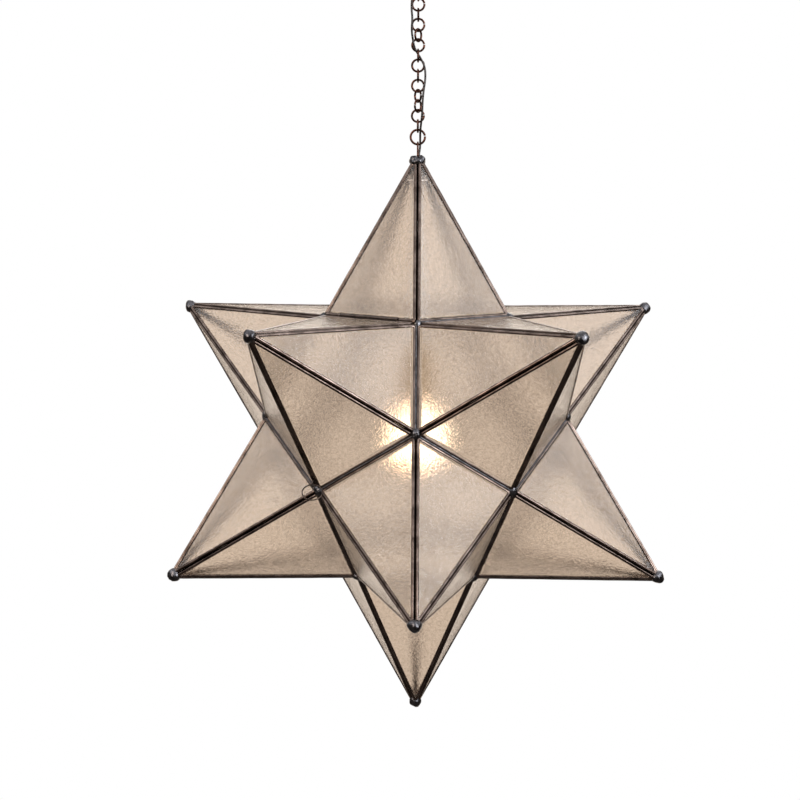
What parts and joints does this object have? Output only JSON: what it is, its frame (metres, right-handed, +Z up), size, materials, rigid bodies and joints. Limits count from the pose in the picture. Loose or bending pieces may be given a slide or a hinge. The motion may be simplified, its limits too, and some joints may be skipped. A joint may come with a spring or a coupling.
{
  "type": "moravian star pendant light",
  "caption": "Glass star pendant lamp with leaded pyramid points, a hinged relamping point, a bulb inside, a round-link chain and a domed ceiling canopy.",
  "frame": {"origin": "middle of the crossbar's top face, in the ceiling plane, on the hanging axis", "axes": "+Z up; the pendant hangs towards -Z and its pictured front faces -Y"},
  "size_m": [0.4934, 0.5182, 0.7912],
  "materials": {
    "seedy_glass": "clear seedy and rippled, slightly warm",
    "came": "dark bronze patina, satin",
    "solder": "dark patinated solder, lumpy",
    "bronze": "dark antique bronze with copper-red highlights",
    "hinge_metal": "dark bronze patina",
    "steel": "zinc plated",
    "brass": "plain brass",
    "phenolic": "moulded, dull",
    "bulb_envelope": "frosted, lit warm white",
    "cord": "dark brown translucent jacket",
    "wire_nut": "orange"
  },
  "bodies": {
    "ceiling_kit": {"crossbar": "steel", "nipple": "steel", "hickey": "steel", "wire_nuts": "wire_nut", "canopy": "bronze", "collar_nut": "bronze", "canopy_loop": "bronze"},
    "ring_01": {"chain_ring_01": "bronze"},
    "ring_02": {"chain_ring_02": "bronze"},
    "ring_03": {"chain_ring_03": "bronze"},
    "ring_04": {"chain_ring_04": "bronze"},
    "ring_05": {"chain_ring_05": "bronze"},
    "ring_06": {"chain_ring_06": "bronze"},
    "ring_07": {"chain_ring_07": "bronze"},
    "ring_08": {"chain_ring_08": "bronze"},
    "ring_09": {"chain_ring_09": "bronze"},
    "ring_10": {"chain_ring_10": "bronze"},
    "ring_11": {"chain_ring_11": "bronze"},
    "ring_12": {"chain_ring_12": "bronze"},
    "ring_13": {"chain_ring_13": "bronze"},
    "ring_14": {"chain_ring_14": "bronze"},
    "ring_15": {"chain_ring_15": "bronze"},
    "star": {"hanging_eye": "bronze", "solder_tip_caps": "solder", "solder_valley_joints": "solder", "came_top": "came", "came_upper": "came", "came_lower": "came", "came_bottom": "came", "glass_top": "seedy_glass", "glass_upper_1": "seedy_glass", "glass_upper_2": "seedy_glass", "glass_upper_3": "seedy_glass", "glass_upper_4": "seedy_glass", "glass_lower_1": "seedy_glass", "glass_lower_2": "seedy_glass", "glass_lower_3": "seedy_glass", "glass_lower_4": "seedy_glass", "glass_lower_5": "seedy_glass", "glass_bottom": "seedy_glass", "hinge_leaf_top": "hinge_metal", "hinge_pin": "hinge_metal", "top_plate": "steel", "lamp_stem": "steel", "stem_nuts": "steel", "socket_cap": "brass", "socket_shell": "brass", "socket_insulator": "phenolic", "socket_screw_shell": "brass", "socket_contact": "brass", "lamp_cord": "cord"},
    "door": {"glass_door": "seedy_glass", "came_door": "came", "solder_door": "solder", "hinge_leaf_door": "hinge_metal", "pull_ring_staple": "hinge_metal"},
    "pull_ring": {"pull_ring": "hinge_metal"},
    "bulb_travel": {"bulb_contact": "steel"},
    "bulb": {"bulb_glass": "bulb_envelope", "bulb_screw_base": "brass"}
  },
  "joints": [
    {"name": "ring_01_swing", "type": "hinge", "parent": "ceiling_kit", "child": "ring_01", "pos_m": [0, 0, -0.0575], "axis": [1, 0, 0], "range_deg": [-30, 30], "deforming": ["lamp_cord"]},
    {"name": "ring_02_swing", "type": "hinge", "parent": "ring_01", "child": "ring_02", "pos_m": [0, 0, -0.06628], "axis": [0, 1, 0], "range_deg": [-30, 30], "deforming": ["lamp_cord"]},
    {"name": "ring_03_swing", "type": "hinge", "parent": "ring_02", "child": "ring_03", "pos_m": [0, 0, -0.07606], "axis": [-1, 0, 0], "range_deg": [-30, 30], "deforming": ["lamp_cord"]},
    {"name": "ring_04_swing", "type": "hinge", "parent": "ring_03", "child": "ring_04", "pos_m": [0, 0, -0.08584], "axis": [0, -1, 0], "range_deg": [-30, 30], "deforming": ["lamp_cord"]},
    {"name": "ring_05_swing", "type": "hinge", "parent": "ring_04", "child": "ring_05", "pos_m": [0, 0, -0.09562], "axis": [1, 0, 0], "range_deg": [-30, 30], "deforming": ["lamp_cord"]},
    {"name": "ring_06_swing", "type": "hinge", "parent": "ring_05", "child": "ring_06", "pos_m": [0, 0, -0.1054], "axis": [0.5, 0.866, 0], "range_deg": [-30, 30], "deforming": ["lamp_cord"]},
    {"name": "ring_07_swing", "type": "hinge", "parent": "ring_06", "child": "ring_07", "pos_m": [0, 0, -0.11518], "axis": [-1, 0, 0], "range_deg": [-30, 30], "deforming": ["lamp_cord"]},
    {"name": "ring_08_swing", "type": "hinge", "parent": "ring_07", "child": "ring_08", "pos_m": [0, 0, -0.12496], "axis": [0, -1, 0], "range_deg": [-30, 30], "deforming": ["lamp_cord"]},
    {"name": "ring_09_swing", "type": "hinge", "parent": "ring_08", "child": "ring_09", "pos_m": [0, 0, -0.13474], "axis": [1, 0, 0], "range_deg": [-30, 30], "deforming": ["lamp_cord"]},
    {"name": "ring_10_swing", "type": "hinge", "parent": "ring_09", "child": "ring_10", "pos_m": [0, 0, -0.14452], "axis": [0, 1, 0], "range_deg": [-30, 30], "deforming": ["lamp_cord"]},
    {"name": "ring_11_swing", "type": "hinge", "parent": "ring_10", "child": "ring_11", "pos_m": [0, 0, -0.1543], "axis": [-1, 0, 0], "range_deg": [-30, 30], "deforming": ["lamp_cord"]},
    {"name": "ring_12_swing", "type": "hinge", "parent": "ring_11", "child": "ring_12", "pos_m": [0, 0, -0.16408], "axis": [0.5, -0.866, 0], "range_deg": [-30, 30], "deforming": ["lamp_cord"]},
    {"name": "ring_13_swing", "type": "hinge", "parent": "ring_12", "child": "ring_13", "pos_m": [0, 0, -0.17386], "axis": [0.5, 0.866, 0], "range_deg": [-30, 30], "deforming": ["lamp_cord"]},
    {"name": "ring_14_swing", "type": "hinge", "parent": "ring_13", "child": "ring_14", "pos_m": [0, 0, -0.18364], "axis": [1, 0, 0], "range_deg": [-30, 30], "deforming": ["lamp_cord"]},
    {"name": "ring_15_swing", "type": "hinge", "parent": "ring_14", "child": "ring_15", "pos_m": [0, 0, -0.19342], "axis": [0, -1, 0], "range_deg": [-30, 30], "deforming": ["lamp_cord"]},
    {"name": "star_swing", "type": "hinge", "parent": "ring_15", "child": "star", "pos_m": [0, 0, -0.20555], "axis": [-1, 0, 0], "range_deg": [-30, 30], "deforming": ["lamp_cord"]},
    {"name": "door_hinge", "type": "hinge", "parent": "star", "child": "door", "pos_m": [-0.04731, -0.06512, -0.37205], "axis": [-0.809, 0.5878, 0], "range_deg": [0, 75]},
    {"name": "pull_ring_turn", "type": "hinge", "parent": "door", "child": "pull_ring", "pos_m": [-0.09795, -0.13481, -0.52487], "axis": [-1, 0, 0], "range_deg": [-44, 90]},
    {"name": "bulb_screw_travel", "type": "slide", "parent": "star", "child": "bulb_travel", "axis": [0, 0, -1], "range_m": [0, 0.01462]},
    {"name": "bulb_spin", "type": "hinge", "parent": "bulb_travel", "child": "bulb", "pos_m": [0, 0, -0.44228], "axis": [0, 0, -1], "range_deg": [0, 1440]}
  ],
  "couplings": [
    {"joint": "bulb_screw_travel", "follows": "bulb_spin", "m_per_rad": 0.00057773}
  ]
}
